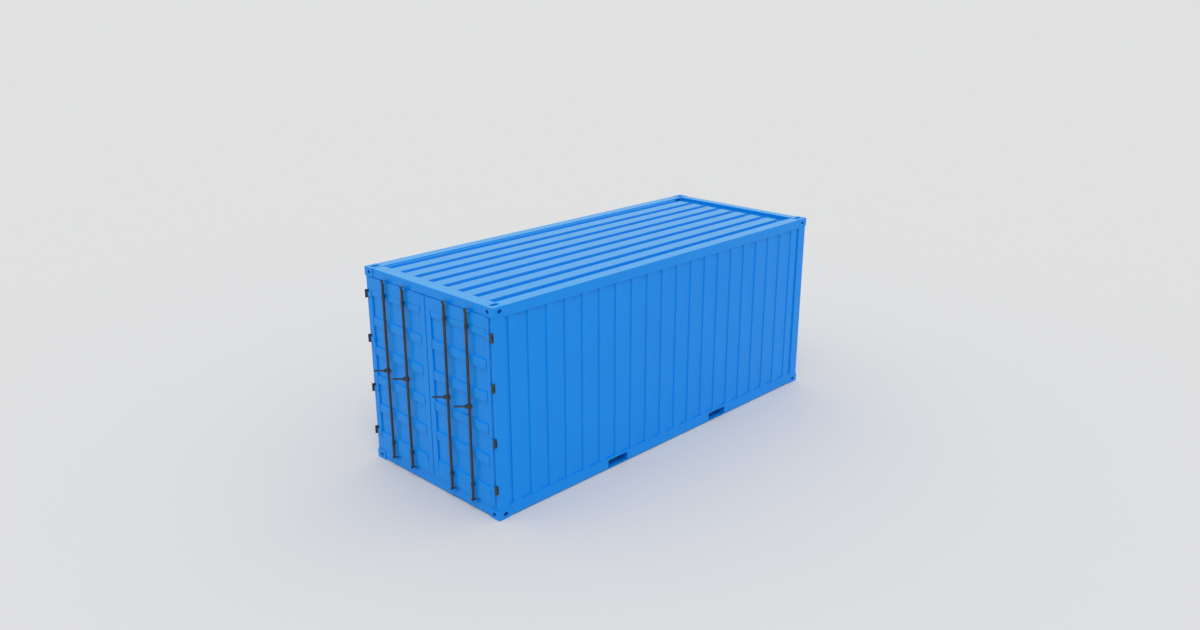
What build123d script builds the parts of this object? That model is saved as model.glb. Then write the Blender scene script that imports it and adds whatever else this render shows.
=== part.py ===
"""Twenty-foot shipping container.

A welded steel frame with corrugated walls, a roof pressed with lengthwise
grooves, a boarded floor on cross members, fork pockets, and two hinged doors
with lock rods. X runs along the length with the doors at -X, Y across with
the right side at -Y, Z up. The origin is on the ground under the middle.
"""
import os
from math import cos, hypot, radians, sin

from build123d import *

# Outside size over the corner castings
length = 6058.0
width = 2438.0
height = 2591.0

# Corner castings, with the centres of their slots from end and side
casting_length = 178.0
casting_width = 162.0
casting_height = 118.0
casting_plate = 28.0
casting_wall = 16.0
casting_edge = 3.0
slot_length = 124.5
slot_width = 63.5
slot_from_end = 102.5
slot_from_side = 89.5
side_hole_length = 68.0
end_hole_length = 56.0
hole_height = 46.0

# Straight edges that draw a round corner of a tube, a hole or a small piece
corner_edges = 3

# How far the frame stands back from the faces of the castings
end_set_back = 12.0
side_set_back = 4.0
top_set_back = 4.0
bottom_set_back = 12.5

# Corner posts, hollow
post_width = 63.0
post_wall = 6.0
post_corner = 10.0

# Top side rails: a hollow box with a flat margin towards the roof
top_rail_height = 132.0
top_rail_box_width = 60.0
top_rail_margin = 149.5
top_rail_wall = 4.0
roof_step = 12.0

# Door header and the top rail of the closed end
header_depth = 166.0
front_top_rail_depth = 134.0
end_rail_wall = 4.0
end_rail_corner = 8.0

# Bottom rails and sill, bent channels
bottom_rail_height = 146.0
bottom_rail_flange = 63.0
channel_wall = 4.5
sill_flange = 110.0

# Corrugated walls, with a plain strip at each end
wall_sheet = 2.0
wall_set_back = 8.0
wall_strip = 48.0
wall_crest = 128.0
wall_flank = 6.0
wall_depth = 14.0
side_crest_count = 20
front_crest_count = 8

# Roof sheet
roof_sheet = 2.0
roof_strip = 38.0
groove_opening = 104.0
groove_bottom = 84.0
groove_depth = 36.0
groove_count = 8
roof_lap = 25.0
trench_width = 200.0

# Floor and what carries it
floor_thickness = 28.0
floor_gap = 2.0
floor_rows = 5
cross_member_depth = 115.0
cross_member_flange = 45.0
cross_member_wall = 4.0
members_per_bay = 5

# Fork pockets
pocket_spacing = 2050.0
pocket_width = 360.0
pocket_height = 115.0
pocket_strap_width = 125.0
pocket_strap_thickness = 6.0

# Door leaves
leaf_proud = 4.0
leaf_thickness = 50.0
leaf_gap = 6.0
leaf_side_gap = 5.0
leaf_centre_gap = 16.0
free_stile_width = 92.0
hinge_stile_width = 56.0
leaf_rail_height = 150.0
leaf_tube_wall = 3.2
leaf_tube_corner = 5.0
leaf_sheet = 2.0
recess_count = 5
recess_strip = 79.0
recess_share = 0.725
recess_flank = 8.0
recess_depth = 20.0

# Door gaskets
gasket_depth = 18.0
gasket_inset = 4.0
gasket_gap = 1.0
gasket_centre_reach = 4.0

# Hinges, at shares of the height of a leaf
hinge_shares = (0.099, 0.356, 0.647, 0.903)
hinge_height = 100.0
hinge_lug = 18.0
hinge_gap = 2.0
hinge_pin_radius = 8.0
hinge_pin_clearance = 0.3
hinge_eye_radius = 11.0
hinge_pin_out = 16.0
hinge_pin_inset = 16.0
hinge_blade = 8.0
hinge_arm_length = 40.0
hinge_pad_length = 70.0
hinge_seat_width = 42.0
hinge_seat_thickness = 6.0
hinge_seat_inset = 4.0

# Lock rods at shares of the width of a leaf, guides, cams and keepers
rod_shares = (0.344, 0.691)
rod_radius = 16.5
rod_out = 36.0
guide_inset = 174.0
guide_clearance = 0.5
guide_wall = 5.0
guide_length = 40.0
guide_neck = 18.0
guide_plate_width = 60.0
guide_plate = 6.0
cam_thickness = 20.0
cam_disc_radius = 24.0
cam_reach = 42.0
cam_nose = 14.0
keeper_height = 30.0
keeper_plate = 5.0
keeper_web = 8.0
keeper_play = 4.0
keeper_lip_reach = 12.0
keeper_foot = 7.0
keeper_offset = 49.0

# Handles
handle_height = 1330.0
handle_angle = 45.0
handle_length = 180.0
handle_width = 18.0
handle_root = 8.0
handle_tip = 10.0
hub_radius = 25.0
hub_height = 60.0
stub_length = 38.0
ear_length = 50.0
ear_thickness = 8.0
ear_height = 36.0
handle_play = 1.0
handle_pivot = 38.0
handle_eye_radius = 12.0
handle_pin_radius = 5.0
handle_pin_clearance = 0.3

# Overrun of every cutting tool
overrun = 1.0

# Planes and levels that follow from the sizes above
half_length = length / 2
half_width = width / 2
door_face = -half_length + end_set_back
front_face = half_length - end_set_back
side_face = half_width - side_set_back
door_casting_end = -half_length + casting_length
front_casting_end = half_length - casting_length
casting_inner = half_width - casting_width
post_inner = side_face - post_width
castings_top = height - casting_height
top_face = height - top_set_back
rail_underside = top_face - top_rail_height
rail_top = bottom_set_back + bottom_rail_height
floor_bottom = bottom_set_back + channel_wall + cross_member_depth
floor_top = floor_bottom + floor_thickness
wall_outer = side_face - wall_set_back
web_inner = side_face - channel_wall
margin_inner = side_face - top_rail_margin
rib_top = top_face - roof_step
groove_floor = rib_top - groove_depth
roof_edge = margin_inner + roof_lap
header_inner = door_face + header_depth
front_rail_inner = front_face - front_top_rail_depth
ribs_end = front_rail_inner - trench_width

leaf_outer = -half_length - leaf_proud
leaf_inner = leaf_outer + leaf_thickness
leaf_edge = post_inner - leaf_side_gap
leaf_free = leaf_centre_gap / 2
leaf_bottom = floor_top + leaf_gap
leaf_top = castings_top - leaf_gap
leaf_height = leaf_top - leaf_bottom
hinge_heights = [leaf_bottom + share * leaf_height for share in hinge_shares]
rod_places = [leaf_free + share * (leaf_edge - leaf_free) for share in rod_shares]
guide_heights = (leaf_bottom + guide_inset, leaf_top - guide_inset)
hinge_x = -half_length - hinge_pin_out
hinge_y = half_width - hinge_pin_inset
hinge_reach = hinge_height / 2 - hinge_lug - hinge_gap
arm_end = hinge_y - hinge_arm_length
rod_x = -half_length - rod_out

left = 1
right = -1


def span(x, y, z):
    """A block between three pairs of limits."""
    size = [abs(pair[1] - pair[0]) for pair in (x, y, z)]
    middle = [(pair[0] + pair[1]) / 2 for pair in (x, y, z)]
    return Pos(*middle) * Box(*size)


def outline(points):
    """A flat face with straight sides through the points."""
    return make_face(Polyline(*points, close=True))


def soft_box(wide, deep, corner):
    """A rectangle whose round corners are drawn with a few straight edges."""
    points = []
    for quarter, (right_of, above) in enumerate(((1, 1), (-1, 1), (-1, -1), (1, -1))):
        x = right_of * (wide / 2 - corner)
        y = above * (deep / 2 - corner)
        for step in range(corner_edges + 1):
            angle = radians(90 * (quarter + step / corner_edges))
            points.append((round(x + corner * cos(angle), 6), round(y + corner * sin(angle), 6)))
    return outline(dict.fromkeys(points))


def round_plan(radius):
    """A round outline of a small piece."""
    return soft_box(2 * radius, 2 * radius, radius)


def round_bore(radius):
    """A bore outline that leaves a circle of this radius free."""
    return round_plan(radius / cos(radians(45 / corner_edges)))


def along_x(section, low, high):
    """A section drawn in Y and Z, carried along X."""
    plane = Plane(origin=(low, 0, 0), x_dir=(0, 1, 0), z_dir=(1, 0, 0))
    return extrude(plane * section, high - low)


def along_y(section, low, high):
    """A section drawn in X and Z, carried along Y."""
    plane = Plane(origin=(0, high, 0), x_dir=(1, 0, 0), z_dir=(0, -1, 0))
    return extrude(plane * section, high - low)


def along_z(section, low, high):
    """A section drawn in X and Y, carried along Z."""
    return extrude(Pos(0, 0, low) * section, high - low)


def tube(first, second, wall, corner):
    """Section of a hollow rectangular tube between two pairs of limits."""
    wide = abs(first[1] - first[0])
    deep = abs(second[1] - second[0])
    ring = soft_box(wide, deep, corner)
    ring -= Rectangle(wide - 2 * wall, deep - 2 * wall)
    return Pos((first[0] + first[1]) / 2, (second[0] + second[1]) / 2) * ring


def bent_sheet(points, thickness):
    """Section of a folded sheet whose outer face runs through the points.

    The sheet lies on the left of the line as it is walked."""
    normals = []
    for (ax, ay), (bx, by) in zip(points, points[1:]):
        run = hypot(bx - ax, by - ay)
        normals.append(((ay - by) / run, (bx - ax) / run))
    before = [normals[0]] + normals
    after = normals + [normals[-1]]
    inner = []
    for (x, y), (ax, ay), (bx, by) in zip(points, before, after):
        share = thickness / (1 + ax * bx + ay * by)
        inner.append((x + share * (ax + bx), y + share * (ay + by)))
    return outline(points + inner[::-1])


def wave(low, high, count, strip, crest, flank, outer, inner):
    """Points of a corrugated line: crests at outer, troughs at inner.

    The troughs before the first and after the last crest are strip wide."""
    points = [(low, inner)]
    first = low + strip + flank + crest / 2
    last = high - strip - flank - crest / 2
    for number in range(count):
        middle = first + number * (last - first) / (count - 1)
        points.append((middle - crest / 2 - flank, inner))
        points.append((middle - crest / 2, outer))
        points.append((middle + crest / 2, outer))
        points.append((middle + crest / 2 + flank, inner))
    points.append((high, inner))
    return points


def swapped(points):
    """The same line with its two coordinates exchanged."""
    return [(b, a) for a, b in points]


def each_side(part):
    """A piece on the left and its mirror image on the right."""
    return {left: part, right: mirror(part, about=Plane.XZ)}


# Corner castings


def casting_block(end, side, level):
    """The outside block of one casting; level is 1 at the top, -1 below."""
    x = (end * half_length, end * (half_length - casting_length))
    y = (side * half_width, side * casting_inner)
    z = (height, castings_top) if level > 0 else (0, casting_height)
    return span(x, y, z)


def casting(end, side, level):
    """A hollow block with a twist-lock slot and holes in its outer faces."""
    block = casting_block(end, side, level)
    body = chamfer(block.edges(), casting_edge)
    x = end * (half_length - slot_from_end)
    y = side * (half_width - slot_from_side)
    z = height - casting_height / 2 if level > 0 else casting_height / 2
    hollow = Box(
        casting_length - 2 * casting_wall,
        casting_width - 2 * casting_wall,
        casting_height - 2 * casting_plate,
    )
    body -= Pos(block.center()) * hollow
    reach = casting_plate + 2 * overrun
    slot = extrude(SlotOverall(slot_length, slot_width), reach / 2, both=True)
    outer_plate = z + level * (casting_height - casting_plate) / 2
    body -= Pos(x, y, outer_plate) * slot
    reach = casting_wall + 2 * overrun
    side_hole = Plane.XZ * soft_box(side_hole_length, hole_height, hole_height / 2)
    side_hole = extrude(side_hole, reach / 2, both=True)
    body -= Pos(x, side * (half_width - casting_wall / 2), z) * side_hole
    end_hole = Plane.YZ * soft_box(end_hole_length, hole_height, hole_height / 2)
    end_hole = extrude(end_hole, reach / 2, both=True)
    body -= Pos(end * (half_length - casting_wall / 2), y, z) * end_hole
    return body


def castings(level):
    """The four castings of one level."""
    return Compound(children=[casting(end, side, level) for end in (-1, 1) for side in (left, right)])


def clear_of_castings(part):
    """A piece with the blocks of the castings taken out of its corners."""
    for end in (-1, 1):
        for side in (left, right):
            for level in (-1, 1):
                part -= casting_block(end, side, level)
    return part


# Frame


def corner_post(outer):
    """A hollow post between a lower and an upper casting, on the left."""
    inner = front_casting_end if outer > 0 else door_casting_end
    section = tube((outer, inner), (post_inner, side_face), post_wall, post_corner)
    return along_z(section, casting_height, castings_top)


def top_rail():
    """The left top rail: box, flat margin and down-turned lip."""
    box_inner = side_face - top_rail_box_width
    under_margin = top_face - top_rail_wall
    lip_outer = margin_inner + top_rail_wall
    section = outline([
        (side_face, rail_underside),
        (side_face, top_face),
        (margin_inner, top_face),
        (margin_inner, rib_top),
        (lip_outer, rib_top),
        (lip_outer, under_margin),
        (box_inner, under_margin),
        (box_inner, rail_underside),
    ])
    bore_wide = top_rail_box_width - 2 * top_rail_wall
    bore_deep = top_rail_height - 2 * top_rail_wall
    middle = (side_face - top_rail_box_width / 2, top_face - top_rail_height / 2)
    section -= Pos(*middle) * Rectangle(bore_wide, bore_deep)
    return along_x(section, door_casting_end, front_casting_end)


def channel(outer, inner, low, high):
    """Section of a channel with its web at outer and its flanges inwards."""
    line = [(inner, low), (outer, low), (outer, high), (inner, high)]
    if inner > outer:
        line = line[::-1]
    return bent_sheet(line, channel_wall)


def bottom_rail():
    """The left bottom rail, a channel cut out at the fork pockets."""
    section = channel(side_face, side_face - bottom_rail_flange, bottom_set_back, rail_top)
    rail = along_x(section, door_casting_end, front_casting_end)
    for place in pocket_places():
        rail -= span(
            (place - pocket_width / 2, place + pocket_width / 2),
            (post_inner - overrun, side_face + overrun),
            (bottom_set_back - overrun, bottom_set_back + pocket_height),
        )
    return rail


def pocket_places():
    """Middle of each fork pocket along the length."""
    return (-pocket_spacing / 2, pocket_spacing / 2)


def header():
    """The hollow member over the doors, between the top castings."""
    section = tube((door_face, header_inner), (castings_top, top_face), end_rail_wall, end_rail_corner)
    return along_y(section, -casting_inner, casting_inner)


def front_top_rail():
    """The hollow member over the closed end."""
    section = tube((front_rail_inner, front_face), (castings_top, top_face), end_rail_wall, end_rail_corner)
    return along_y(section, -casting_inner, casting_inner)


def sill():
    """The channel under the doors, level with the floor."""
    section = channel(door_face, door_face + sill_flange, bottom_set_back, floor_top)
    return clear_of_castings(along_y(section, -post_inner, post_inner))


def front_bottom_rail():
    """The channel under the closed end."""
    section = channel(front_face, front_face - bottom_rail_flange, bottom_set_back, rail_top)
    return clear_of_castings(along_y(section, -post_inner, post_inner))


# Walls and roof


def side_wall():
    """The left wall, folded into upright corrugations."""
    line = wave(door_casting_end, front_casting_end, side_crest_count, wall_strip,
                wall_crest, wall_flank, wall_outer, wall_outer - wall_depth)
    return along_z(bent_sheet(line[::-1], wall_sheet), rail_top, rail_underside)


def front_wall():
    """The wall of the closed end."""
    outer = front_face - wall_set_back
    line = wave(-post_inner, post_inner, front_crest_count, wall_strip,
                wall_crest, wall_flank, outer, outer - wall_depth)
    return along_z(bent_sheet(swapped(line), wall_sheet), rail_top, castings_top)


def roof_line():
    """Outer face of the roof across its width, groove after groove."""
    points = [(-roof_edge, rib_top)]
    last = margin_inner - roof_strip - groove_opening / 2
    for number in range(groove_count):
        middle = (2 * number / (groove_count - 1) - 1) * last
        points.append((middle - groove_opening / 2, rib_top))
        points.append((middle - groove_bottom / 2, groove_floor))
        points.append((middle + groove_bottom / 2, groove_floor))
        points.append((middle + groove_opening / 2, rib_top))
    points.append((roof_edge, rib_top))
    return points


def roof_panel():
    """Ribbed sheet that ends at a cross trench before the closed end."""
    line = roof_line()
    under = groove_floor - roof_sheet
    panel = along_x(bent_sheet(line[::-1], roof_sheet), header_inner, ribs_end)
    closure = outline(line + [(roof_edge, under), (-roof_edge, under)])
    panel += along_x(closure, ribs_end - roof_sheet, ribs_end)
    side_limits = (roof_edge - roof_sheet, roof_edge)
    trench = (ribs_end - roof_sheet, front_rail_inner)
    panel += span(trench, (-roof_edge, roof_edge), (under, groove_floor))
    panel += span(trench, side_limits, (under, rib_top))
    panel += mirror(span(trench, side_limits, (under, rib_top)), about=Plane.XZ)
    return clear_of_castings(panel)


# Floor


def floor_boards():
    """Two rows of plywood sheets with narrow joints."""
    low = door_face + sill_flange + floor_gap
    high = front_face - bottom_rail_flange - floor_gap
    side = post_inner - floor_gap
    pitch = (high - low + floor_gap) / floor_rows
    sheets = []
    for row in range(floor_rows):
        x = (low + row * pitch, low + (row + 1) * pitch - floor_gap)
        for y in ((-side, -floor_gap / 2), (floor_gap / 2, side)):
            sheets.append(span(x, y, (floor_bottom, floor_top)))
    return Compound(children=sheets)


def cross_members():
    """Channels under the floor, in three bays beside the fork pockets."""
    low = bottom_set_back + channel_wall
    near = pocket_width / 2 + channel_wall + cross_member_flange
    door_pocket, front_pocket = pocket_places()
    bays = (
        (door_casting_end, door_pocket - near),
        (door_pocket + near, front_pocket - near),
        (front_pocket + near, front_casting_end),
    )
    members = []
    for start, end in bays:
        pitch = (end - start) / members_per_bay
        for number in range(members_per_bay):
            place = start + (number + 1 / 2) * pitch
            line = [
                (place + cross_member_flange / 2, low),
                (place - cross_member_flange / 2, low),
                (place - cross_member_flange / 2, floor_bottom),
                (place + cross_member_flange / 2, floor_bottom),
            ]
            section = bent_sheet(line[::-1], cross_member_wall)
            members.append(along_y(section, -web_inner, web_inner))
    return Compound(children=members)


def fork_pockets():
    """Two tunnels across the base, each with a strap under its mouths."""
    pieces = []
    low = bottom_set_back + channel_wall
    for place in pocket_places():
        reach = pocket_width / 2 + channel_wall
        line = [
            (place - reach, low),
            (place - reach, floor_bottom),
            (place + reach, floor_bottom),
            (place + reach, low),
        ]
        pieces.append(along_y(bent_sheet(line[::-1], channel_wall), -web_inner, web_inner))
        for side in (left, right):
            pieces.append(span(
                (place - pocket_width / 2, place + pocket_width / 2),
                (side * (side_face - pocket_strap_width), side * side_face),
                (bottom_set_back, bottom_set_back + pocket_strap_thickness),
            ))
    return Compound(children=pieces)


# Hinges


def hinge_bracket(place):
    """Two lugs and their seat on the left door post, with the pin."""
    plan = Pos(hinge_x, hinge_y) * round_plan(hinge_eye_radius)
    plan += Pos((hinge_x + door_face) / 2, hinge_y) * Rectangle(door_face - hinge_x, 2 * hinge_eye_radius)
    half = hinge_height / 2
    bracket = Pos(hinge_x, hinge_y, place) * Cylinder(hinge_pin_radius, hinge_height - hinge_lug)
    bracket += along_z(plan, place - half, place - half + hinge_lug)
    bracket += along_z(plan, place + half - hinge_lug, place + half)
    seat_edge = side_face - hinge_seat_inset
    bracket += span(
        (door_face - hinge_seat_thickness, door_face),
        (seat_edge - hinge_seat_width, seat_edge),
        (place - half, place + half),
    )
    return bracket


def hinge_blade_at(place):
    """The arm of a hinge, rolled round the pin on the left."""
    middle = (leaf_outer - hinge_blade / 2, (hinge_y + arm_end) / 2)
    plan = Pos(hinge_x, hinge_y) * round_plan(hinge_eye_radius)
    plan += Pos(*middle) * Rectangle(hinge_blade, hinge_arm_length)
    plan -= Pos(hinge_x, hinge_y) * round_bore(hinge_pin_radius + hinge_pin_clearance)
    return along_z(plan, place - hinge_reach, place + hinge_reach)


def hinge_pad(place):
    """The pad on the left leaf that carries the arm of a hinge."""
    return span(
        (leaf_outer - hinge_blade, leaf_outer),
        (arm_end - hinge_pad_length, arm_end),
        (place - hinge_reach, place + hinge_reach),
    )


def hinge_set(maker):
    """One piece at each hinge height of the left side."""
    return Compound(children=[maker(place) for place in hinge_heights])


# Door leaf, on the left


def leaf_stiles():
    """The two upright tubes of a leaf, the hinged one with its pads."""
    stiles = []
    for limits in ((leaf_free, leaf_free + free_stile_width), (leaf_edge - hinge_stile_width, leaf_edge)):
        section = tube((leaf_outer, leaf_inner), limits, leaf_tube_wall, leaf_tube_corner)
        stiles.append(along_z(section, leaf_bottom, leaf_top))
    for place in hinge_heights:
        stiles[-1] += hinge_pad(place)
    return Compound(children=stiles)


def leaf_rails():
    """The top and bottom tubes between the stiles."""
    low = leaf_free + free_stile_width
    high = leaf_edge - hinge_stile_width
    rails = []
    for z in ((leaf_bottom, leaf_bottom + leaf_rail_height), (leaf_top - leaf_rail_height, leaf_top)):
        section = tube((leaf_outer, leaf_inner), z, leaf_tube_wall, leaf_tube_corner)
        rails.append(along_y(section, low, high))
    return Compound(children=rails)


def leaf_panel():
    """The sheet of a leaf, pressed back in level recesses, with guide plates."""
    low = leaf_bottom + leaf_rail_height
    high = leaf_top - leaf_rail_height
    pitch = (high - low - 2 * recess_strip) / (recess_count - 1 + recess_share)
    line = wave(low, high, recess_count, recess_strip, recess_share * pitch - 2 * recess_flank,
                recess_flank, leaf_outer + recess_depth, leaf_outer)
    section = bent_sheet(swapped(line)[::-1], leaf_sheet)
    panel = along_y(section, leaf_free + free_stile_width, leaf_edge - hinge_stile_width)
    for place in rod_places:
        for level in guide_heights:
            panel += span(
                (leaf_outer - guide_plate, leaf_outer),
                (place - guide_plate_width / 2, place + guide_plate_width / 2),
                (level - guide_length / 2, level + guide_length / 2),
            )
    return panel


def leaf_gasket():
    """The rubber seal round the edge of a leaf."""
    inner = leaf_inner - gasket_inset
    x = (inner - gasket_depth, inner)
    outer = span(
        x,
        (leaf_free - gasket_centre_reach, post_inner - gasket_gap),
        (floor_top + gasket_gap, castings_top - gasket_gap),
    )
    return outer - span((x[0] - overrun, x[1] + overrun), (leaf_free, leaf_edge), (leaf_bottom, leaf_top))


def rod_guides(side):
    """Collars on necks that hold both lock rods of a leaf."""
    bore = rod_radius + guide_clearance
    plate_face = leaf_outer - guide_plate
    guides = []
    for place in rod_places:
        y = side * place
        plan = Pos(rod_x, y) * round_plan(bore + guide_wall)
        plan += Pos((rod_x + plate_face) / 2, y) * Rectangle(plate_face - rod_x, guide_neck)
        plan -= Pos(rod_x, y) * round_bore(bore)
        for level in guide_heights:
            guides.append(along_z(plan, level - guide_length / 2, level + guide_length / 2))
    return Compound(children=guides)


# Lock rods and handles, drawn locked with the handle along +Y


def cam_levels():
    """Middle height of the lower and the upper cams."""
    return (floor_top - keeper_height / 2 - leaf_gap, castings_top + keeper_height / 2 + overrun)


def keeper(side, place, level):
    """A hooked bracket that holds a cam against outward pull."""
    lip_out = rod_out + keeper_play + keeper_web
    foot_end = keeper_offset + keeper_web + keeper_foot
    hook_end = keeper_offset - keeper_lip_reach
    line = [
        (-end_set_back, keeper_offset - keeper_lip_reach - keeper_foot),
        (-end_set_back, foot_end),
        (-end_set_back + keeper_plate, foot_end),
        (-end_set_back + keeper_plate, keeper_offset + keeper_web),
        (lip_out, keeper_offset + keeper_web),
        (lip_out, hook_end),
        (lip_out - keeper_web, hook_end),
        (lip_out - keeper_web, keeper_offset),
        (-end_set_back + keeper_plate, keeper_offset),
        (-end_set_back + keeper_plate, keeper_offset - keeper_lip_reach - keeper_foot),
    ]
    points = [(-half_length - out, side * place - across) for out, across in line]
    return along_z(outline(points), level - keeper_height / 2, level + keeper_height / 2)


def cam_keepers():
    """One keeper for each end of each lock rod."""
    keepers = []
    for side in (left, right):
        for place in rod_places:
            for level in cam_levels():
                keepers.append(keeper(side, place, level))
    return Compound(children=keepers)


def cam(level):
    """Disc with a nose that turns behind the keeper's lip."""
    plan = round_plan(cam_disc_radius)
    plan += Pos(cam_nose / 2, -cam_reach / 2) * Rectangle(cam_nose, cam_reach)
    return along_z(plan, level - cam_thickness / 2, level + cam_thickness / 2)


def lock_rod(side, place):
    """A rod with two cams and the hub for its handle."""
    low, high = cam_levels()
    rod = along_z(Circle(rod_radius), low, high)
    rod += cam(low) + cam(high)
    rod += along_z(round_plan(hub_radius), handle_height - hub_height / 2, handle_height + hub_height / 2)
    rod += span((-handle_width / 2, handle_width / 2), (-stub_length, 0),
                (handle_height - handle_root, handle_height + handle_root))
    slot = handle_width / 2 + handle_play
    ear = span((slot, slot + ear_thickness), (0, ear_length),
               (handle_height - ear_height / 2, handle_height + ear_height / 2))
    core = Pos(0, 0, handle_height) * Cylinder(rod_radius, hub_height)
    rod += ear - core
    rod += mirror(ear, about=Plane.YZ) - core
    rod += Pos(0, handle_pivot, handle_height) * Rot(0, 90, 0) * Cylinder(
        handle_pin_radius, 2 * (slot + ear_thickness))
    return in_place(rod, side, place)


def handle(side, place):
    """A bar that swells towards its tip, pinned in the hub."""
    tip = handle_length - handle_tip
    bar = outline([
        (handle_pivot, -handle_root),
        (tip, -handle_tip),
        (tip, handle_tip),
        (handle_pivot, handle_root),
    ])
    bar += Pos(tip, 0) * round_plan(handle_tip)
    bar += Pos(handle_pivot, 0) * round_plan(handle_eye_radius)
    bar -= Pos(handle_pivot, 0) * round_bore(handle_pin_radius + handle_pin_clearance)
    body = Pos(0, 0, handle_height) * along_x(bar, -handle_width / 2, handle_width / 2)
    return in_place(body, side, place)


def in_place(part, side, place):
    """Turn a rod piece out to the angle of the handles and stand it up."""
    return Pos(rod_x, side * place, 0) * Rot(0, 0, handle_angle) * part


def build():
    """Every node of the container by name."""
    nodes = {
        "top_corner_castings": castings(1),
        "bottom_corner_castings": castings(-1),
        "door_header": header(),
        "door_sill": sill(),
        "front_top_rail": front_top_rail(),
        "front_bottom_rail": front_bottom_rail(),
        "front_wall": front_wall(),
        "roof_panel": roof_panel(),
        "floor_boards": floor_boards(),
        "cross_members": cross_members(),
        "fork_pockets": fork_pockets(),
        "cam_keepers": cam_keepers(),
    }
    paired = {
        "door_post": each_side(corner_post(door_face)),
        "front_post": each_side(corner_post(front_face)),
        "top_rail": each_side(top_rail()),
        "bottom_rail": each_side(bottom_rail()),
        "side_wall": each_side(side_wall()),
        "hinge_brackets": each_side(hinge_set(hinge_bracket)),
        "door_stiles": each_side(leaf_stiles()),
        "door_rails": each_side(leaf_rails()),
        "door_panel": each_side(leaf_panel()),
        "door_gasket": each_side(leaf_gasket()),
        "hinge_blades": each_side(hinge_set(hinge_blade_at)),
        "rod_guides": {side: rod_guides(side) for side in (left, right)},
    }
    for word, side in (("left", left), ("right", right)):
        for name, pieces in paired.items():
            nodes[name + "_" + word] = pieces[side]
        for rank, place in zip(("inner", "outer"), rod_places):
            nodes["lock_rod_" + word + "_" + rank] = lock_rod(side, place)
            nodes["handle_" + word + "_" + rank] = handle(side, place)
    return nodes


os.makedirs("parts", exist_ok=True)
for node_name, node_part in build().items():
    export_step(node_part, "parts/" + node_name + ".step")
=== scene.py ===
"""The dressed twenty-foot container: paint, rubber, plywood, welds and rivets.

X runs along the length with the doors at -X, Y across with the right side at
-Y, Z up, in metres.
"""
from math import cos, pi, radians, sin

import bpy
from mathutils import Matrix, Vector


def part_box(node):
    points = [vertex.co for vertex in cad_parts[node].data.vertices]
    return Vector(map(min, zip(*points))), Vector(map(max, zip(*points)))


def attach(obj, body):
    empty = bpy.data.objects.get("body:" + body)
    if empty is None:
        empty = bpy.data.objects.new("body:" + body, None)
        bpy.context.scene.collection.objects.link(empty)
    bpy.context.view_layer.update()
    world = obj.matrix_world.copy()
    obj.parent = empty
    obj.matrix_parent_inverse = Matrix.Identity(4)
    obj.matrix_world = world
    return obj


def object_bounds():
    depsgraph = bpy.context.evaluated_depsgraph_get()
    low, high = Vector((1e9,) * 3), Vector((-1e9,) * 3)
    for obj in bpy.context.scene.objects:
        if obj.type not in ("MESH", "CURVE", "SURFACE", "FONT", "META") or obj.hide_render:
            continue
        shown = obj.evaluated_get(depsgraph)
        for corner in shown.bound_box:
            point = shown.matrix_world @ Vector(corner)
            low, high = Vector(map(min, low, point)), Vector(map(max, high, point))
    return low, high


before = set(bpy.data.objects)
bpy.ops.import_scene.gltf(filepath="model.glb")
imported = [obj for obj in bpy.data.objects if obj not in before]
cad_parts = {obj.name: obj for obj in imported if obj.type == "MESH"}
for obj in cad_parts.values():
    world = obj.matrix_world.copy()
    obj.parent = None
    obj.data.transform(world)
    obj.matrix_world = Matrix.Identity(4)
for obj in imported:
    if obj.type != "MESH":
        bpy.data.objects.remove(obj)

cad_low, cad_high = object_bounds()

# Colours, linear
BLUE = (0.0010, 0.246, 0.775, 1)
BLUE_DEEP = (0.0008, 0.238, 0.757, 1)
# painted light: the paler blue of the top faces, as lit from above
BLUE_PAINTED_TOP_LIGHT = (0.025, 0.316, 0.740, 1)
# painted shade: the darker blue of the roof groove floors
BLUE_PAINTED_GROOVE_SHADE = (0.0008, 0.178, 0.550, 1)
GEAR = (0.024, 0.029, 0.035, 1)
GEAR_PALE = (0.044, 0.050, 0.057, 1)
RUBBER = (0.020, 0.290, 0.780, 1)
RUBBER_DUSTY = (0.045, 0.340, 0.830, 1)
PLY_DARK = (0.150, 0.066, 0.030, 1)
PLY_PALE = (0.330, 0.185, 0.095, 1)
SCREW = (0.300, 0.290, 0.270, 1)
SCREW_PALE = (0.420, 0.400, 0.370, 1)
BACKGROUND = (0.745, 0.753, 0.761, 1)
GROUND = (0.634, 0.637, 0.643, 1)

# Gloss and grain of the paint
PAINT_IOR = 1.31
PAINT_ROUGHNESS = 0.26
PAINT_SPREAD = 0.03
PAINT_GRAIN = 0.00004
CASTING_ROUGHNESS = 0.34
CASTING_GRAIN = 0.00012
SHEET_WAVE = 0.0022
SECTION_WAVE = 0.0010

# Painted light and shade on faces that look up, by their depth below the top
PAINTED_LIGHT_SHADE_DEPTHS = (0.060, 0.050)
PAINTED_SHADE_DEPTHS = (0.030, 0.015)

# Patterns of the finishes, in cells a metre
PAINT_CLOUD_CELLS = 1.7
PAINT_MOTTLE_CELLS = 23.0
PAINT_GRAIN_CELLS = 260.0
PAINT_WAVE_CELLS = 2.6
CASTING_GRAIN_CELLS = 320.0
GEAR_CLOUD_CELLS = 9.0
GEAR_GRAIN_CELLS = 420.0
GEAR_DRAWN_CELLS = 90.0
RUBBER_DUST_CELLS = 14.0
RUBBER_GRAIN_CELLS = 600.0
RUBBER_LINE_CELLS = 60.0
PLY_GRAIN_CELLS = 34.0
PLY_PORE_CELLS = 240.0
PLY_CLOUD_CELLS = 1.9
PLY_RING_CELLS = 5.5
SCREW_CLOUD_CELLS = 60.0
SCREW_GRAIN_CELLS = 900.0

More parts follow.
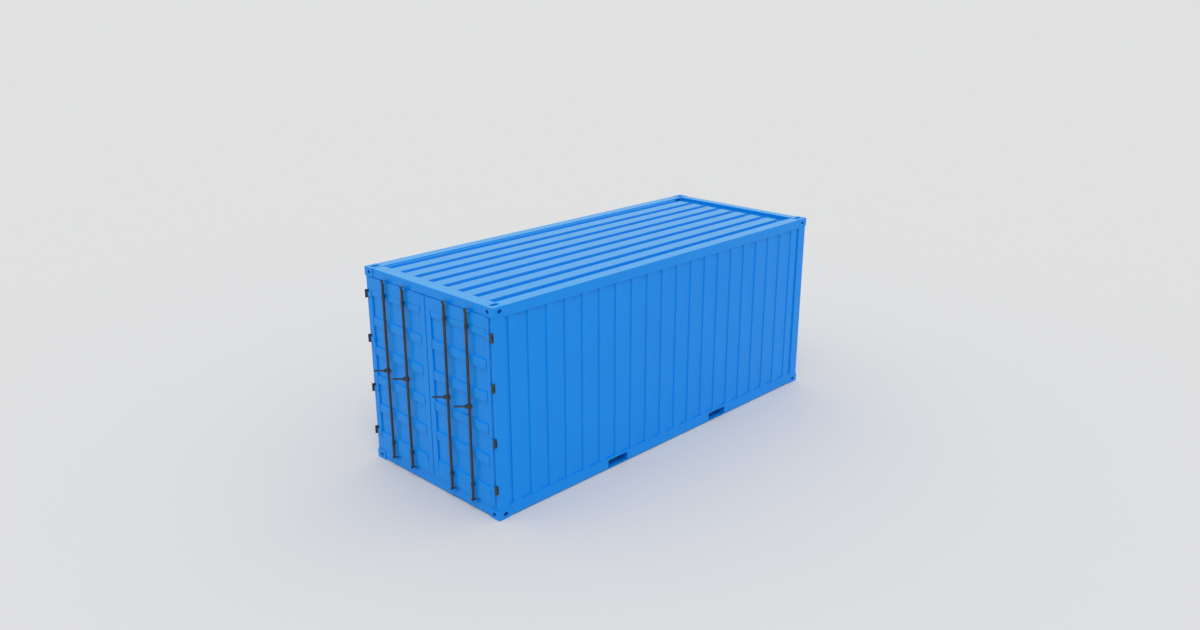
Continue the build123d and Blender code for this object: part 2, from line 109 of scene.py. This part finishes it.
# How far the finishes stretch their patterns, and the share of each
GEAR_DRAWN_STRETCH = (1, 1, 0.08)
PLY_GRAIN_STRETCH = (0.06, 1, 1)
PLY_PORE_STRETCH = (0.035, 1, 1)
PLY_RING_STRETCH = (0.12, 1, 1)
PAINT_CLOUD_SHARE = 0.7
GEAR_CLOUD_SHARE = 0.6
PLY_GRAIN_SHARE = 0.45
PLY_RING_SHARE = 0.30
PLY_CLOUD_SHARE = 0.25
PLY_PORE_SHARE = 0.55

# Camera and light
CAMERA_PLACE = (-9.6463, -9.2599, 5.9623)
CAMERA_AZIMUTH = -45.85
CAMERA_ELEVATION = 18.41
CAMERA_LENS = 30.39
SENSOR_WIDTH = 36.0
SKY_STRENGTH = 0.95
SUN_STRENGTH = 0.85
SUN_SOFTNESS = 30.0
SUN_FROM = (-0.35, -0.42, 0.84)
GROUND_SIZE = 900.0
GROUND_DROP = 0.0005
GROUND_CELLS = 0.6
GROUND_SPECKLE = 0.02

# Corrugation of the walls
WALL_STRIP = 0.048
WALL_CREST = 0.128
WALL_FLANK = 0.006
WALL_DEPTH = 0.014
SIDE_CRESTS = 20
FRONT_CRESTS = 8

# Recesses of the door panels
RECESS_COUNT = 5
RECESS_STRIP = 0.079
RECESS_SHARE = 0.725
RECESS_FLANK = 0.008
RECESS_DEPTH = 0.020

# Grooves of the roof
GROOVE_COUNT = 8
GROOVE_OPENING = 0.104
GROOVE_BOTTOM = 0.084
GROOVE_DEPTH = 0.036
ROOF_STRIP = 0.038

# Weld beads
BEAD_RADIUS = 0.0034
FINE_BEAD_RADIUS = 0.0024
BEAD_STEP = 0.008
BEAD_RIPPLE = 0.0005
BEAD_BEAT = 2.1
BEAD_SIDES = 6

# Rivets in the plates under the rod guides, and the collars on those plates
RIVET_RADIUS = 0.0038
RIVET_HEIGHT = 0.0024
RIVET_ACROSS = 0.0245
RIVET_UP = 0.012
COLLAR_RADIUS = 0.022
COLLAR_LENGTH = 0.040

# Form of a domed head, in shares of its radius and height
HEAD_SIDES = 12
HEAD_SHOULDER = 0.82
HEAD_CROWN = 0.42
HEAD_RIM = 0.6
HEAD_MERGE = 0.001

# Hinges: places in shares of the door height, their eyes, pads and pin heads
HINGE_SHARES = (0.099, 0.356, 0.647, 0.903)
HINGE_EYE = 0.011
HINGE_REACH = 0.030
HINGE_HALF = 0.050
PAD_LENGTH = 0.070
PAD_THICKNESS = 0.008
PAD_OVERHANG = 0.016
PIN_HEAD_RADIUS = 0.0105
PIN_HEAD_HEIGHT = 0.006

# Caps in the upright tubes of the doors, and the outer lip of their seals
LEAF_WALL = 0.0032
CAP_THICKNESS = 0.003
CAP_INSET = 0.003
LIP_RADIUS = 0.0024
LIP_OFFSET = 0.0021
LIP_STEP = 0.1

# Screws in the floor
SCREW_RADIUS = 0.0055
SCREW_HEIGHT = 0.0008
SCREW_SINK = 0.0002
SCREW_PITCH = 0.146
SCREW_ROWS = 19
FLOOR_ROW_INSET = 0.030


# Shader helpers


class Value:
    """A socket of a finish, with arithmetic that adds Math nodes."""

    def __init__(self, finish, socket):
        self.finish = finish
        self.socket = socket

    def math(self, operation, first, second):
        return self.finish.node("Math", {"operation": operation}, {0: first, 1: second})

    def __add__(self, other):
        return self.math("ADD", self, other)

    __radd__ = __add__

    def __sub__(self, other):
        return self.math("SUBTRACT", self, other)

    def __rsub__(self, other):
        return self.math("SUBTRACT", other, self)

    def __mul__(self, other):
        return self.math("MULTIPLY", self, other)

    __rmul__ = __mul__


class Finish:
    """The nodes of a material, or of the sky."""

    def __init__(self, name, owners=bpy.data.materials, coordinates="Object"):
        self.owner = owners.new(name)
        self.owner.use_nodes = True
        self.tree = self.owner.node_tree
        self.tree.nodes.clear()
        self.place = self.node("TexCoord", out=coordinates)

    def node(self, kind, settings=None, sockets=None, out=0):
        """Add a node: its settings first, then values or links of its sockets."""
        made = self.tree.nodes.new("ShaderNode" + kind)
        for name, value in (settings or {}).items():
            setattr(made, name, value)
        for key, value in (sockets or {}).items():
            if isinstance(value, Value):
                self.tree.links.new(value.socket, made.inputs[key])
            else:
                made.inputs[key].default_value = value
        return Value(self, made.outputs[out] if made.outputs else None)

    def stretched(self, stretch):
        """The place on the piece with its axes stretched."""
        return self.node("Mapping", {}, {"Vector": self.place, "Scale": stretch})

    def noise(self, cells, stretch=(1, 1, 1), detail=2.0, roughness=0.5):
        """Noise from 0 to 1, with so many cells a metre."""
        sockets = {"Vector": self.stretched(stretch), "Scale": cells,
                   "Detail": detail, "Roughness": roughness}
        return self.node("TexNoise", {}, sockets)

    def upright(self, vector):
        """The Z part of a vector."""
        return self.node("SeparateXYZ", {}, {"Vector": vector}, out=2)

    def uneven(self, pattern, middle, spread):
        """A value that swings about its middle with the pattern."""
        return (pattern - 0.5) * spread + middle

    def ramp(self, factor, low, high):
        """The factor spread from 0 at low to 1 at high."""
        sockets = {"Value": factor, "From Min": low, "From Max": high}
        return self.node("MapRange", {"clamp": True}, sockets)

    def mix(self, factor, first, second):
        """A mix of two colours."""
        return self.node("Mix", {"data_type": "RGBA"}, {0: factor, 6: first, 7: second}, out=2)

    def bump(self, height, distance, under=None):
        """A bumped normal; distance is the height of a full step in metres."""
        sockets = {"Height": height, "Distance": distance}
        if under is not None:
            sockets["Normal"] = under
        return self.node("Bump", {}, sockets)

    def surface(self, **sockets):
        """Finish with a Principled shader; its sockets by name, _ for a space."""
        named = {name.replace("_", " "): value for name, value in sockets.items()}
        shader = self.node("BsdfPrincipled", {}, named)
        self.node("OutputMaterial", {}, {"Surface": shader})
        return self.owner


# Finishes


def lit_tops_and_shaded_grooves(finish, colour):
    """The colour with painted light and shade: paler on the top faces as painted light from above,
    and darker on the roof groove floors as painted shade.
    """
    facing = finish.upright(finish.node("TexCoord", out="Normal"))
    height = finish.upright(finish.place)
    low, high = [cad_high.z - depth for depth in PAINTED_LIGHT_SHADE_DEPTHS]
    # share of the painted light and shade: faces that look up, near the top
    share = finish.ramp(facing, low=0.5, high=0.9) * finish.ramp(height, low, high)
    low, high = [cad_high.z - depth for depth in PAINTED_SHADE_DEPTHS]
    # painted shade on the groove floors, painted light on the top faces
    painted_light_and_shade = finish.mix(finish.ramp(height, low, high), BLUE_PAINTED_GROOVE_SHADE, BLUE_PAINTED_TOP_LIGHT)
    return finish.mix(share, colour, painted_light_and_shade)


def paint(name, wave_height, grain=PAINT_GRAIN, cells=PAINT_GRAIN_CELLS,
          roughness=PAINT_ROUGHNESS):
    """Semi-gloss blue paint over steel.

    wave_height is that of the slow waviness of the sheet under it, and grain
    that of the skin of the sprayed coat, or of the sand skin of a casting.
    """
    finish = Finish(name)
    cloud = finish.noise(PAINT_CLOUD_CELLS, detail=3.0)
    mottle = finish.noise(PAINT_MOTTLE_CELLS, detail=3.0)
    skin = finish.noise(cells)
    waves = finish.noise(PAINT_WAVE_CELLS, detail=1.0)
    tone = PAINT_CLOUD_SHARE * cloud + (1 - PAINT_CLOUD_SHARE) * mottle
    blue = finish.mix(finish.ramp(tone, low=0.38, high=0.62), BLUE_DEEP, BLUE)
    under = finish.bump(waves, distance=wave_height)
    return finish.surface(
        # the blue with painted light on the top faces and painted shade in the roof grooves
        Base_Color=lit_tops_and_shaded_grooves(finish, blue),
        Roughness=finish.uneven(mottle, roughness, PAINT_SPREAD),
        Normal=finish.bump(skin, distance=grain, under=under),
        IOR=PAINT_IOR,
    )


def gear_finish():
    """Dark grey coating on the lock gear and hinges, a little uneven."""
    finish = Finish("lock_gear")
    cloud = finish.noise(GEAR_CLOUD_CELLS, detail=4.0)
    skin = finish.noise(GEAR_GRAIN_CELLS)
    drawn = finish.noise(GEAR_DRAWN_CELLS, GEAR_DRAWN_STRETCH)
    tone = GEAR_CLOUD_SHARE * cloud + (1 - GEAR_CLOUD_SHARE) * drawn
    under = finish.bump(drawn, distance=0.0002)
    return finish.surface(
        Base_Color=finish.mix(finish.ramp(tone, low=0.35, high=0.68), GEAR, GEAR_PALE),
        Roughness=finish.uneven(cloud, middle=0.42, spread=0.20),
        Normal=finish.bump(skin, distance=0.00012, under=under),
        Metallic=0.15,
        IOR=1.5,
    )


def rubber_finish():
    """Extruded blue rubber with fine lines along the seal."""
    finish = Finish("door_seal")
    dust = finish.noise(RUBBER_DUST_CELLS, detail=4.0)
    skin = finish.noise(RUBBER_GRAIN_CELLS, detail=1.0)
    sockets = {"Vector": finish.place, "Scale": RUBBER_LINE_CELLS, "Distortion": 0.0}
    lines = finish.node("TexWave", {"bands_direction": "X"}, sockets)
    under = finish.bump(lines, distance=0.0004)
    return finish.surface(
        Base_Color=finish.mix(finish.ramp(dust, low=0.42, high=0.70), RUBBER, RUBBER_DUSTY),
        Roughness=finish.uneven(dust, middle=0.68, spread=0.20),
        Normal=finish.bump(skin, distance=0.0001, under=under),
        IOR=1.45,
    )


def plywood_finish():
    """Brown plywood with its grain along the container."""
    finish = Finish("floor_plywood")
    along = finish.noise(PLY_GRAIN_CELLS, PLY_GRAIN_STRETCH, detail=6.0, roughness=0.62)
    fine = finish.noise(PLY_PORE_CELLS, PLY_PORE_STRETCH, detail=3.0)
    cloud = finish.noise(PLY_CLOUD_CELLS)
    sockets = {"Vector": finish.stretched(PLY_RING_STRETCH), "Scale": PLY_RING_CELLS,
               "Distortion": 9.0, "Detail": 3.0, "Detail Scale": 1.2}
    rings = finish.node("TexWave", {"bands_direction": "Y"}, sockets)
    tone = PLY_GRAIN_SHARE * along + PLY_RING_SHARE * rings + PLY_CLOUD_SHARE * cloud
    wood = finish.mix(finish.ramp(tone, low=0.26, high=0.70), PLY_DARK, PLY_PALE)
    pores = (1 - finish.ramp(fine, low=0.30, high=0.46)) * PLY_PORE_SHARE
    under = finish.bump(along, distance=0.0008)
    return finish.surface(
        Base_Color=finish.mix(pores, wood, PLY_DARK),
        Roughness=finish.uneven(along, middle=0.59, spread=0.22),
        Normal=finish.bump(fine, distance=0.0004, under=under),
        IOR=1.45,
    )


def screw_finish():
    """Zinc-coated steel of the floor screws."""
    finish = Finish("zinc_screw")
    cloud = finish.noise(SCREW_CLOUD_CELLS, detail=3.0)
    skin = finish.noise(SCREW_GRAIN_CELLS, detail=1.0)
    return finish.surface(
        Base_Color=finish.mix(cloud, SCREW, SCREW_PALE),
        Roughness=finish.uneven(cloud, middle=0.42, spread=0.20),
        Normal=finish.bump(skin, distance=0.00008),
        Metallic=0.9,
    )


SHEET_PAINT = paint("painted_sheet", SHEET_WAVE)
SECTION_PAINT = paint("painted_section", SECTION_WAVE)
CASTING_PAINT = paint("painted_casting", SECTION_WAVE, CASTING_GRAIN, CASTING_GRAIN_CELLS,
                      CASTING_ROUGHNESS)
GEAR_FINISH = gear_finish()
RUBBER_FINISH = rubber_finish()
PLYWOOD_FINISH = plywood_finish()
SCREW_FINISH = screw_finish()


def finish_of(node):
    """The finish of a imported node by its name."""
    if "casting" in node:
        return CASTING_PAINT
    if node.startswith(("lock_rod", "handle", "hinge", "rod_guides")):
        return GEAR_FINISH
    if "gasket" in node:
        return RUBBER_FINISH
    if "floor" in node:
        return PLYWOOD_FINISH
    if "wall" in node or "panel" in node:
        return SHEET_PAINT
    return SECTION_PAINT


for node_name, node_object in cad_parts.items():
    node_object.data.materials.clear()
    node_object.data.materials.append(finish_of(node_name))


# Geometry node trees for what repeats


class Recipe:
    """A geometry node tree with named inputs."""

    def __init__(self, name, inputs):
        self.tree = bpy.data.node_groups.new(name, "GeometryNodeTree")
        face = self.tree.interface
        face.new_socket("Geometry", in_out="INPUT", socket_type="NodeSocketGeometry")
        self.sockets = {}
        for label, (kind, value) in inputs.items():
            made = face.new_socket(label, in_out="INPUT", socket_type="NodeSocket" + kind)
            if value is not None:
                made.default_value = value
            self.sockets[label] = made.identifier
        face.new_socket("Geometry", in_out="OUTPUT", socket_type="NodeSocketGeometry")
        self.start = self.tree.nodes.new("NodeGroupInput")
        self.end = self.tree.nodes.new("NodeGroupOutput")

    def entry(self, label):
        """The link that brings an input into the tree."""
        return self.start.outputs[label]

    def node(self, kind, settings=None, sockets=None, out=0):
        """Add a node: its settings first, then values or links of its sockets."""
        made = self.tree.nodes.new(kind)
        for name, value in (settings or {}).items():
            setattr(made, name, value)
        for key, value in (sockets or {}).items():
            if isinstance(value, bpy.types.NodeSocket):
                self.tree.links.new(value, made.inputs[key])
            else:
                made.inputs[key].default_value = value
        return made.outputs[out]

    def close(self, geometry, finish):
        """Realize the instances, smooth and dress them, and end the tree."""
        real = self.node("GeometryNodeRealizeInstances", {}, {0: geometry})
        smooth = self.node("GeometryNodeSetShadeSmooth", {}, {
            "Geometry": real, "Shade Smooth": True})
        dressed = self.node("GeometryNodeSetMaterial", {}, {
            "Geometry": smooth, "Material": finish})
        self.tree.links.new(dressed, self.end.inputs[0])
        return self


def bead_recipe():
    """A rippled weld bead along every line of the mesh."""
    recipe = Recipe("weld_bead", {
        "Radius": ("Float", BEAD_RADIUS),
        "Step": ("Float", BEAD_STEP),
        "Ripple": ("Float", BEAD_RIPPLE),
        "Finish": ("Material", None),
    })
    node = recipe.node
    curve = node("GeometryNodeMeshToCurve", {}, {"Mesh": recipe.entry("Geometry")})
    fine = node("GeometryNodeResampleCurve", {"mode": "LENGTH"},
                {"Curve": curve, "Length": recipe.entry("Step")})
    index = node("GeometryNodeInputIndex")
    beat = node("ShaderNodeMath", {"operation": "MULTIPLY"}, {0: index, 1: BEAD_BEAT})
    swell = node("ShaderNodeMath", {"operation": "SINE"}, {0: beat})
    ripple = node("ShaderNodeMath", {"operation": "MULTIPLY"}, {
        0: swell, 1: recipe.entry("Ripple")})
    radius = node("ShaderNodeMath", {"operation": "ADD"}, {
        0: ripple, 1: recipe.entry("Radius")})
    ring = node("GeometryNodeCurvePrimitiveCircle", {}, {"Resolution": BEAD_SIDES, "Radius": 1.0})
    solid = node("GeometryNodeCurveToMesh", {}, {
        "Curve": fine, "Profile Curve": ring, "Scale": radius, "Fill Caps": True})
    return recipe.close(solid, recipe.entry("Finish"))


def head_recipe():
    """A domed head on every point of the mesh, turned from Z by Turn."""
    recipe = Recipe("domed_head", {
        "Radius": ("Float", RIVET_RADIUS),
        "Height": ("Float", RIVET_HEIGHT),
        "Turn": ("Vector", (0, 0, 0)),
        "Finish": ("Material", None),
    })
    node = recipe.node
    base = node("GeometryNodeMeshCone", {"fill_type": "NONE"}, {
        "Vertices": HEAD_SIDES, "Radius Top": HEAD_SHOULDER, "Radius Bottom": 1.0,
        "Depth": HEAD_RIM})
    crown = node("GeometryNodeMeshCone", {"fill_type": "NGON"}, {
        "Vertices": HEAD_SIDES, "Radius Top": HEAD_CROWN, "Radius Bottom": HEAD_SHOULDER,
        "Depth": 1 - HEAD_RIM})
    raised = node("GeometryNodeTransform", {}, {"Geometry": crown, "Translation": (0, 0, HEAD_RIM)})
    both = recipe.tree.nodes.new("GeometryNodeJoinGeometry")
    recipe.tree.links.new(base, both.inputs[0])
    recipe.tree.links.new(raised, both.inputs[0])
    closed = node("GeometryNodeMergeByDistance", {}, {
        "Geometry": both.outputs[0], "Distance": HEAD_MERGE})
    size = node("ShaderNodeCombineXYZ", {}, {
        0: recipe.entry("Radius"), 1: recipe.entry("Radius"), 2: recipe.entry("Height")})
    points = node("GeometryNodeMeshToPoints", {}, {"Mesh": recipe.entry("Geometry")})
    turned = node("FunctionNodeEulerToRotation", {}, {"Euler": recipe.entry("Turn")})
    heads = node("GeometryNodeInstanceOnPoints", {}, {
        "Points": points, "Instance": closed, "Rotation": turned, "Scale": size})
    return recipe.close(heads, recipe.entry("Finish"))


BEAD = bead_recipe()
HEAD = head_recipe()


def grown_piece(name, points, edges, recipe, body, slot, **inputs):
    """Run a recipe over points and edges and ride the result on a body."""
    seed = bpy.data.meshes.new(name + "_lines")
    seed.from_pydata(points, edges, [])
    carrier = bpy.data.objects.new(name + "_carrier", seed)
    bpy.context.scene.collection.objects.link(carrier)
    modifier = carrier.modifiers.new("recipe", "NODES")
    modifier.node_group = recipe.tree
    for label, value in inputs.items():
        modifier[recipe.sockets[label]] = value
    carrier.update_tag()
    graph = bpy.context.evaluated_depsgraph_get()
    mesh = bpy.data.meshes.new_from_object(carrier.evaluated_get(graph))
    carrier.modifiers.remove(modifier)
    bpy.data.objects.remove(carrier)
    piece = bpy.data.objects.new(name, mesh)
    mesh.name = name
    bpy.context.scene.collection.objects.link(piece)
    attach(piece, body)


def beads(name, lines, body, finish=SECTION_PAINT, radius=BEAD_RADIUS,
          slot="blue_paint", step=BEAD_STEP, ripple=BEAD_RIPPLE):
    """Weld beads, or plain round lips, along open lines of points."""
    points, edges = [], []
    for line in lines:
        first = len(points)
        points.extend(line)
        edges.extend((first + number, first + number + 1) for number in range(len(line) - 1))
    grown_piece(name, points, edges, BEAD, body, slot,
                Radius=radius, Step=step, Ripple=ripple, Finish=finish)


def heads(name, points, body, slot, finish, radius, height, turn):
    """Domed heads that stand out along a turned Z."""
    grown_piece(name, points, [], HEAD, body, slot,
                Radius=radius, Height=height, Turn=turn, Finish=finish)


def plates(name, boxes, body):
    """Painted plates, each between its limits along X, Y and Z."""
    points, faces = [], []
    for limits in boxes:
        first = len(points)
        points += [(x, y, z) for x in limits[0] for y in limits[1] for z in limits[2]]
        faces += [[first + corner for corner in face] for face in PLATE_FACES]
    mesh = bpy.data.meshes.new(name)
    mesh.from_pydata(points, [], faces)
    mesh.materials.append(SECTION_PAINT)
    piece = bpy.data.objects.new(name, mesh)
    bpy.context.scene.collection.objects.link(piece)
    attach(piece, body)


# Lines and places on the container


# The sign of Y on each side
SIDES = {"left": 1, "right": -1}

# The faces of a box by its corners, which are counted along Z, then Y, then X
PLATE_FACES = ((0, 1, 3, 2), (4, 6, 7, 5), (0, 4, 5, 1), (2, 3, 7, 6), (0, 2, 6, 4), (1, 5, 7, 3))

# Turns of a head that stands along Z
UPWARD = (0, 0, 0)
DOWNWARD = (pi, 0, 0)
TOWARDS_DOOR_END = (0, -pi / 2, 0)


def wave(low, high, count, strip, crest, flank, outer, inner):
    """Points of a corrugated line: crests at outer, troughs at inner."""
    points = [(low, inner)]
    first = low + strip + flank + crest / 2
    last = high - strip - flank - crest / 2
    for number in range(count):
        middle = first + number * (last - first) / (count - 1)
        points.append((middle - crest / 2 - flank, inner))
        points.append((middle - crest / 2, outer))
        points.append((middle + crest / 2, outer))
        points.append((middle + crest / 2 + flank, inner))
    points.append((high, inner))
    return points


def wall_beads():
    """Beads where the corrugated walls meet the rails."""
    for word, side in SIDES.items():
        low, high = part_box("side_wall_" + word)
        outer = max(abs(low.y), abs(high.y))
        inner = outer - WALL_DEPTH
        line = wave(low.x, high.x, SIDE_CRESTS, WALL_STRIP, WALL_CREST, WALL_FLANK, outer, inner)
        lines = [[(x, side * y, z) for x, y in line] for z in (low.z, high.z)]
        lines += [[(x, side * inner, low.z), (x, side * inner, high.z)] for x in (low.x, high.x)]
        beads("wall_welds_" + word, lines, "frame")
    low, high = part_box("front_wall")
    line = wave(low.y, high.y, FRONT_CRESTS, WALL_STRIP, WALL_CREST, WALL_FLANK,
                high.x, high.x - WALL_DEPTH)
    beads("front_wall_welds", [[(x, y, z) for y, x in line] for z in (low.z, high.z)], "frame")


def roof_beads():
    """Beads round the roof sheet."""
    roof_low, roof_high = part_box("roof_panel")
    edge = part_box("top_rail_left")[0].y
    top = roof_high.z
    floor = top - GROOVE_DEPTH
    last = edge - ROOF_STRIP - GROOVE_OPENING / 2
    ends = []
    for number in range(GROOVE_COUNT):
        middle = (2 * number / (GROOVE_COUNT - 1) - 1) * last
        ends += [(middle - GROOVE_OPENING / 2, top), (middle - GROOVE_BOTTOM / 2, floor),
                 (middle + GROOVE_BOTTOM / 2, floor), (middle + GROOVE_OPENING / 2, top)]
    ends = [(-edge, top)] + ends + [(edge, top)]
    lines = [[(roof_low.x, y, z) for y, z in ends]]
    for y in (edge, -edge):
        lines.append([(roof_low.x, y, top), (roof_high.x, y, top)])
    lines.append([(roof_high.x, -edge, floor), (roof_high.x, edge, floor)])
    beads("roof_welds", lines, "frame")


def casting_beads():
    """Beads where the posts stand on and under the castings."""
    lines = []
    for word in SIDES:
        for node in ("door_post_", "front_post_"):
            low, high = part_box(node + word)
            for z in (low.z, high.z):
                ring = [(low.x, low.y), (high.x, low.y), (high.x, high.y), (low.x, high.y)]
                lines.append([(x, y, z) for x, y in ring + ring[:1]])
    beads("post_welds", lines, "frame")


def door_beads():
    """Beads along the two upright edges of each door panel, following its recesses."""
    for word in SIDES:
        low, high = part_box("door_panel_" + word)
        pitch = (high.z - low.z - 2 * RECESS_STRIP) / (RECESS_COUNT - 1 + RECESS_SHARE)
        crest = RECESS_SHARE * pitch - 2 * RECESS_FLANK
        line = wave(low.z, high.z, RECESS_COUNT, RECESS_STRIP, crest, RECESS_FLANK,
                    low.x + RECESS_DEPTH, low.x)
        lines = [[(x, y, z) for z, x in line] for y in (low.y, high.y)]
        beads("door_panel_welds_" + word, lines, word + "_door",
              finish=SHEET_PAINT, radius=FINE_BEAD_RADIUS)


def guide_rivets():
    """Four rivets in the plate under each rod guide."""
    for word in SIDES:
        low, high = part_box("rod_guides_" + word)
        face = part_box("door_panel_" + word)[0].x
        points = []
        for y in (low.y + COLLAR_RADIUS, high.y - COLLAR_RADIUS):
            for z in (low.z + COLLAR_LENGTH / 2, high.z - COLLAR_LENGTH / 2):
                for across in (-RIVET_ACROSS, RIVET_ACROSS):
                    points += [(face, y + across, z + up) for up in (-RIVET_UP, RIVET_UP)]
        heads("guide_rivets_" + word, points, word + "_door", "blue_paint", SECTION_PAINT,
              RIVET_RADIUS, RIVET_HEIGHT, TOWARDS_DOOR_END)


def stile_caps():
    """A plate welded into each open end of the upright tubes of the doors."""
    for word, side in SIDES.items():
        low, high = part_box("door_stiles_" + word)
        panel_low, panel_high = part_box("door_panel_" + word)
        free, edge = sorted((abs(low.y), abs(high.y)))
        near, far = sorted((abs(panel_low.y), abs(panel_high.y)))
        front, back = low.x + PAD_THICKNESS + LEAF_WALL, high.x - LEAF_WALL
        boxes, rings = [], []
        for first, second in ((free, near), (far, edge - PAD_OVERHANG)):
            across = sorted((side * (first + LEAF_WALL), side * (second - LEAF_WALL)))
            for end, inward in ((low.z, 1), (high.z, -1)):
                outer = end + inward * CAP_INSET
                upright = sorted((outer, outer + inward * CAP_THICKNESS))
                boxes.append(((front, back), across, upright))
                corners = [(front, across[0]), (back, across[0]),
                           (back, across[1]), (front, across[1])]
                rings.append([(x, y, outer) for x, y in corners + corners[:1]])
        plates("stile_caps_" + word, boxes, word + "_door")
        beads("stile_cap_welds_" + word, rings, word + "_door", radius=FINE_BEAD_RADIUS)


def seal_lips():
    """The round outer lip of the seal in the gap along each edge of a leaf."""
    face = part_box("door_header")[0].x - LIP_RADIUS
    for word, side in SIDES.items():
        low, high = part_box("door_stiles_" + word)
        free, edge = sorted((abs(low.y), abs(high.y)))
        near = side * (free - LIP_OFFSET)
        far = side * (edge - PAD_OVERHANG + LIP_OFFSET)
        bottom, top = low.z - LIP_OFFSET, high.z + LIP_OFFSET
        corners = [(face, near, bottom), (face, far, bottom), (face, far, top), (face, near, top)]
        lines = [[corners[number - 1], corners[number]] for number in range(len(corners))]
        beads("seal_lips_" + word, lines, word + "_door", finish=RUBBER_FINISH,
              radius=LIP_RADIUS, slot="door_seal", step=LIP_STEP, ripple=0.0)


def hinge_levels(lowest, highest):
    """Middle height of each hinge between the lowest and the highest."""
    unit = (highest - lowest) / (HINGE_SHARES[-1] - HINGE_SHARES[0])
    return [lowest + (share - HINGE_SHARES[0]) * unit for share in HINGE_SHARES]


def hinge_details():
    """A bead round each hinge pad, and a head on each end of its pin."""
    for word, side in SIDES.items():
        low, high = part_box("hinge_blades_" + word)
        levels = hinge_levels(low.z + HINGE_REACH, high.z - HINGE_REACH)
        stile_low, stile_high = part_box("door_stiles_" + word)
        leaf_edge = max(abs(stile_low.y), abs(stile_high.y)) - PAD_OVERHANG
        arm_end = min(abs(low.y), abs(high.y))
        leaf_face = stile_low.x + PAD_THICKNESS
        free = arm_end - PAD_LENGTH
        lines = []
        for level in levels:
            top, bottom = level + HINGE_REACH, level - HINGE_REACH
            corners = [(leaf_edge, top), (free, top), (free, bottom), (leaf_edge, bottom)]
            lines.append([(leaf_face, side * y, z) for y, z in corners])
            lines.append([(stile_low.x, side * arm_end, z) for z in (bottom, top)])
        beads("hinge_welds_" + word, lines, word + "_door", radius=FINE_BEAD_RADIUS)
        x = low.x + HINGE_EYE
        y = side * (max(abs(low.y), abs(high.y)) - HINGE_EYE)
        upper = [(x, y, level + HINGE_HALF) for level in levels]
        lower = [(x, y, level - HINGE_HALF) for level in levels]
        heads("pin_heads_upper_" + word, upper, "frame", "lock_gear", GEAR_FINISH,
              PIN_HEAD_RADIUS, PIN_HEAD_HEIGHT, UPWARD)
        heads("pin_heads_lower_" + word, lower, "frame", "lock_gear", GEAR_FINISH,
              PIN_HEAD_RADIUS, PIN_HEAD_HEIGHT, DOWNWARD)


def floor_screws():
    """Rows of screws through the boards into the cross members."""
    low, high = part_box("floor_boards")
    points = []
    pitch = (high.x - low.x - 2 * FLOOR_ROW_INSET) / (SCREW_ROWS - 1)
    count = int((high.y - 2 * FLOOR_ROW_INSET) / SCREW_PITCH)
    for row in range(SCREW_ROWS):
        x = low.x + FLOOR_ROW_INSET + row * pitch
        for number in range(count + 1):
            y = FLOOR_ROW_INSET + number * (high.y - 2 * FLOOR_ROW_INSET) / count
            points += [(x, y, high.z - SCREW_SINK), (x, -y, high.z - SCREW_SINK)]
    heads("floor_screws", points, "frame", "lock_gear", SCREW_FINISH,
          SCREW_RADIUS, SCREW_HEIGHT, UPWARD)


wall_beads()
roof_beads()
casting_beads()
door_beads()
stile_caps()
seal_lips()
guide_rivets()
hinge_details()
floor_screws()


# Floor, light and camera


def ground():
    """A pale floor that is clear from below."""
    finish = Finish("ground")
    below = finish.node("NewGeometry", out="Backfacing")
    tone = finish.mix(finish.noise(GROUND_CELLS) * GROUND_SPECKLE, GROUND, BACKGROUND)
    pale = finish.node("BsdfDiffuse", {}, {"Color": tone, "Roughness": 0.0})
    clear = finish.node("BsdfTransparent")
    both = finish.node("MixShader", {}, {0: below, 1: pale, 2: clear})
    finish.node("OutputMaterial", {}, {"Surface": both})
    mesh = bpy.data.meshes.new("ground")
    half = GROUND_SIZE / 2
    corners = [(-half, -half, 0), (half, -half, 0), (half, half, 0), (-half, half, 0)]
    mesh.from_pydata(corners, [], [(0, 1, 2, 3)])
    mesh.materials.append(finish.owner)
    floor = bpy.data.objects.new("ground", mesh)
    bpy.context.scene.collection.objects.link(floor)
    floor.location.z = -GROUND_DROP


def sky():
    """An even pale sky; the camera and reflections see the plain backdrop."""
    finish = Finish("sky", bpy.data.worlds, "Generated")
    light = finish.node("Background", {}, {"Color": (1, 1, 1, 1), "Strength": SKY_STRENGTH})
    backdrop = finish.node("Background", {}, {"Color": BACKGROUND})
    rays = ("Is Camera Ray", "Is Glossy Ray", "Is Transmission Ray")
    seen = [finish.node("LightPath", out=ray) for ray in rays]
    both = finish.node("MixShader", {}, {0: seen[0] + seen[1] + seen[2], 1: light, 2: backdrop})
    finish.node("OutputWorld", {}, {"Surface": both})
    bpy.context.scene.world = finish.owner


def sun():
    """A soft sun, high over the doors and the right side."""
    lamp = bpy.data.lights.new("soft_sun", "SUN")
    lamp.energy = SUN_STRENGTH
    lamp.angle = radians(SUN_SOFTNESS)
    holder = bpy.data.objects.new("soft_sun", lamp)
    holder.rotation_mode = "QUATERNION"
    holder.rotation_quaternion = Vector(SUN_FROM).to_track_quat("Z", "Y")
    bpy.context.scene.collection.objects.link(holder)


def camera():
    """The camera of the photo."""
    lens = bpy.data.cameras.new("camera")
    lens.sensor_width = SENSOR_WIDTH
    lens.lens = CAMERA_LENS
    lens.clip_end = GROUND_SIZE
    holder = bpy.data.objects.new("camera", lens)
    azimuth, elevation = radians(CAMERA_AZIMUTH), radians(CAMERA_ELEVATION)
    back = Vector((sin(azimuth) * cos(elevation), -cos(azimuth) * cos(elevation), sin(elevation)))
    holder.location = CAMERA_PLACE
    holder.rotation_mode = "QUATERNION"
    holder.rotation_quaternion = (-back).to_track_quat("-Z", "Y")
    bpy.context.scene.collection.objects.link(holder)
    bpy.context.scene.camera = holder


ground()
sky()
sun()
camera()
bpy.context.scene.view_settings.view_transform = "Standard"
